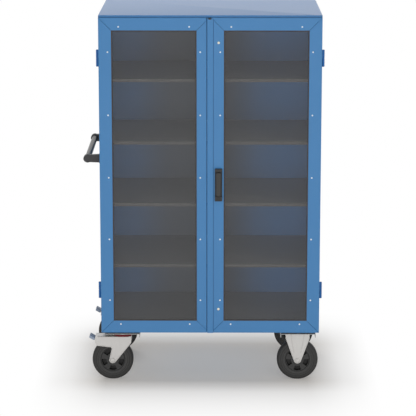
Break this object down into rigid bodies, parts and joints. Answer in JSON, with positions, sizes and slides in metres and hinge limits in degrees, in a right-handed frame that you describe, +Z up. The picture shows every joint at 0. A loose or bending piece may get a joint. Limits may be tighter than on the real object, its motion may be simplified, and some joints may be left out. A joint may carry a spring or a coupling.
{
  "type": "cupboard trolley",
  "caption": "Tall steel cupboard on castors with see-through framed double doors, shelves, a side push bar and a swing-handle rod lock.",
  "frame": {"origin": "middle of the bounding box, on the floor", "axes": "+Z up, +Y from the doors to the back wall, +X from the push bar side to the other side"},
  "size_m": [1.1428, 0.7294, 1.79],
  "materials": {
    "blue_paint": "satin blue powder coat",
    "hinge_paint": "darker blue paint",
    "smoked_sheet": "smoked see-through acrylic sheet",
    "galvanised_steel": "galvanised sheet steel",
    "zinc_plated_steel": "zinc plated pressed steel",
    "push_bar_tube": "brushed metal tube",
    "black_plastic": "moulded black plastic",
    "rubber": "black rubber",
    "red_seal": "dark red moulded plastic",
    "pedal_grey": "blue-grey plastic pad"
  },
  "bodies": {
    "cabinet": {"roof_cap": "blue_paint", "roof_header_rail": "blue_paint", "left_side_panel": "blue_paint", "right_side_panel": "blue_paint", "back_panel": "blue_paint", "floor_tray": "blue_paint", "left_castor_channel": "galvanised_steel", "right_castor_channel": "galvanised_steel", "left_front_upright": "galvanised_steel", "left_rear_upright": "galvanised_steel", "right_front_upright": "galvanised_steel", "right_rear_upright": "galvanised_steel", "shelf_1": "galvanised_steel", "shelf_2": "galvanised_steel", "shelf_3": "galvanised_steel", "shelf_4": "galvanised_steel", "push_bar": "push_bar_tube", "push_bar_front_bracket": "black_plastic", "push_bar_rear_bracket": "black_plastic", "left_upper_hinge_body_leaf": "hinge_paint", "left_lower_hinge_body_leaf": "hinge_paint", "right_upper_hinge_body_leaf": "hinge_paint", "right_lower_hinge_body_leaf": "hinge_paint", "front_left_top_plate": "zinc_plated_steel", "rear_left_top_plate": "zinc_plated_steel", "front_right_fork": "zinc_plated_steel", "rear_right_fork": "zinc_plated_steel"},
    "left_door": {"left_door_frame": "blue_paint", "left_door_pane": "smoked_sheet", "left_upper_hinge_door_leaf": "hinge_paint", "left_lower_hinge_door_leaf": "hinge_paint"},
    "right_door": {"right_door_frame": "blue_paint", "right_door_pane": "smoked_sheet", "right_upper_hinge_door_leaf": "hinge_paint", "right_lower_hinge_door_leaf": "hinge_paint", "door_cover_strip": "blue_paint", "lock_handle_base": "black_plastic", "upper_rod_guide": "black_plastic", "lower_rod_guide": "black_plastic"},
    "lock_cylinder": {"lock_cylinder": "zinc_plated_steel"},
    "lock_spindle": {"lock_spindle": "zinc_plated_steel"},
    "lock_lever": {"lock_lever": "black_plastic"},
    "upper_lock_rod": {"upper_lock_rod": "zinc_plated_steel"},
    "lower_lock_rod": {"lower_lock_rod": "zinc_plated_steel"},
    "front_left_castor": {"front_left_fork": "zinc_plated_steel", "front_left_seal_ring": "red_seal", "front_left_axle": "zinc_plated_steel"},
    "front_left_pedal": {"front_left_brake_pedal": "pedal_grey"},
    "front_left_wheel": {"front_left_tyre": "rubber", "front_left_rim": "black_plastic"},
    "front_right_wheel": {"front_right_tyre": "rubber", "front_right_rim": "black_plastic"},
    "rear_left_castor": {"rear_left_fork": "zinc_plated_steel", "rear_left_seal_ring": "red_seal", "rear_left_axle": "zinc_plated_steel"},
    "rear_left_pedal": {"rear_left_brake_pedal": "pedal_grey"},
    "rear_left_wheel": {"rear_left_tyre": "rubber", "rear_left_rim": "black_plastic"},
    "rear_right_wheel": {"rear_right_tyre": "rubber", "rear_right_rim": "black_plastic"}
  },
  "joints": [
    {"name": "left_door_hinge", "type": "hinge", "parent": "cabinet", "child": "left_door", "pos_m": [-0.49795, -0.3048, 1.017], "axis": [0, 0, -1], "range_deg": [0, 130]},
    {"name": "right_door_hinge", "type": "hinge", "parent": "cabinet", "child": "right_door", "pos_m": [0.56515, -0.3048, 1.017], "axis": [0, 0, 1], "range_deg": [0, 180]},
    {"name": "lever_turn", "type": "hinge", "parent": "right_door", "child": "lock_spindle", "pos_m": [0.0731, -0.3353, 1.036], "axis": [0, -1, 0], "range_deg": [0, 90]},
    {"name": "lever_lift", "type": "hinge", "parent": "lock_spindle", "child": "lock_lever", "pos_m": [0.0731, -0.3522, 1.036], "axis": [-1, 0, 0], "range_deg": [0, 25]},
    {"name": "key_turn", "type": "hinge", "parent": "right_door", "child": "lock_cylinder", "pos_m": [0.0731, -0.3596, 0.9195], "axis": [0, -1, 0], "range_deg": [0, 90]},
    {"name": "upper_rod_slide", "type": "slide", "parent": "right_door", "child": "upper_lock_rod", "axis": [0, 0, -1], "range_m": [0, 0.018]},
    {"name": "lower_rod_slide", "type": "slide", "parent": "right_door", "child": "lower_lock_rod", "axis": [0, 0, 1], "range_m": [0, 0.018]},
    {"name": "front_left_swivel", "type": "hinge", "parent": "cabinet", "child": "front_left_castor", "pos_m": [-0.3914, -0.2423, 0.219], "axis": [0, 0, 1], "continuous": true},
    {"name": "front_left_brake", "type": "hinge", "parent": "front_left_castor", "child": "front_left_pedal", "pos_m": [-0.4994, -0.2423, 0.198], "axis": [0, -1, 0], "range_deg": [0, 12]},
    {"name": "front_left_wheel_spin", "type": "hinge", "parent": "front_left_castor", "child": "front_left_wheel", "pos_m": [-0.4414, -0.2423, 0.1], "axis": [0, 1, 0], "continuous": true},
    {"name": "front_right_wheel_spin", "type": "hinge", "parent": "cabinet", "child": "front_right_wheel", "pos_m": [0.4586, -0.2423, 0.1], "axis": [0, 1, 0], "continuous": true},
    {"name": "rear_left_swivel", "type": "hinge", "parent": "cabinet", "child": "rear_left_castor", "pos_m": [-0.3914, 0.2717, 0.219], "axis": [0, 0, 1], "continuous": true},
    {"name": "rear_left_brake", "type": "hinge", "parent": "rear_left_castor", "child": "rear_left_pedal", "pos_m": [-0.4994, 0.2717, 0.198], "axis": [0, -1, 0], "range_deg": [0, 12]},
    {"name": "rear_left_wheel_spin", "type": "hinge", "parent": "rear_left_castor", "child": "rear_left_wheel", "pos_m": [-0.4414, 0.2717, 0.1], "axis": [0, 1, 0], "continuous": true},
    {"name": "rear_right_wheel_spin", "type": "hinge", "parent": "cabinet", "child": "rear_right_wheel", "pos_m": [0.4586, 0.2717, 0.1], "axis": [0, 1, 0], "continuous": true}
  ],
  "couplings": [
    {"joint": "upper_rod_slide", "follows": "lever_turn", "m_per_rad": 0.01145},
    {"joint": "lower_rod_slide", "follows": "lever_turn", "m_per_rad": 0.01145}
  ]
}
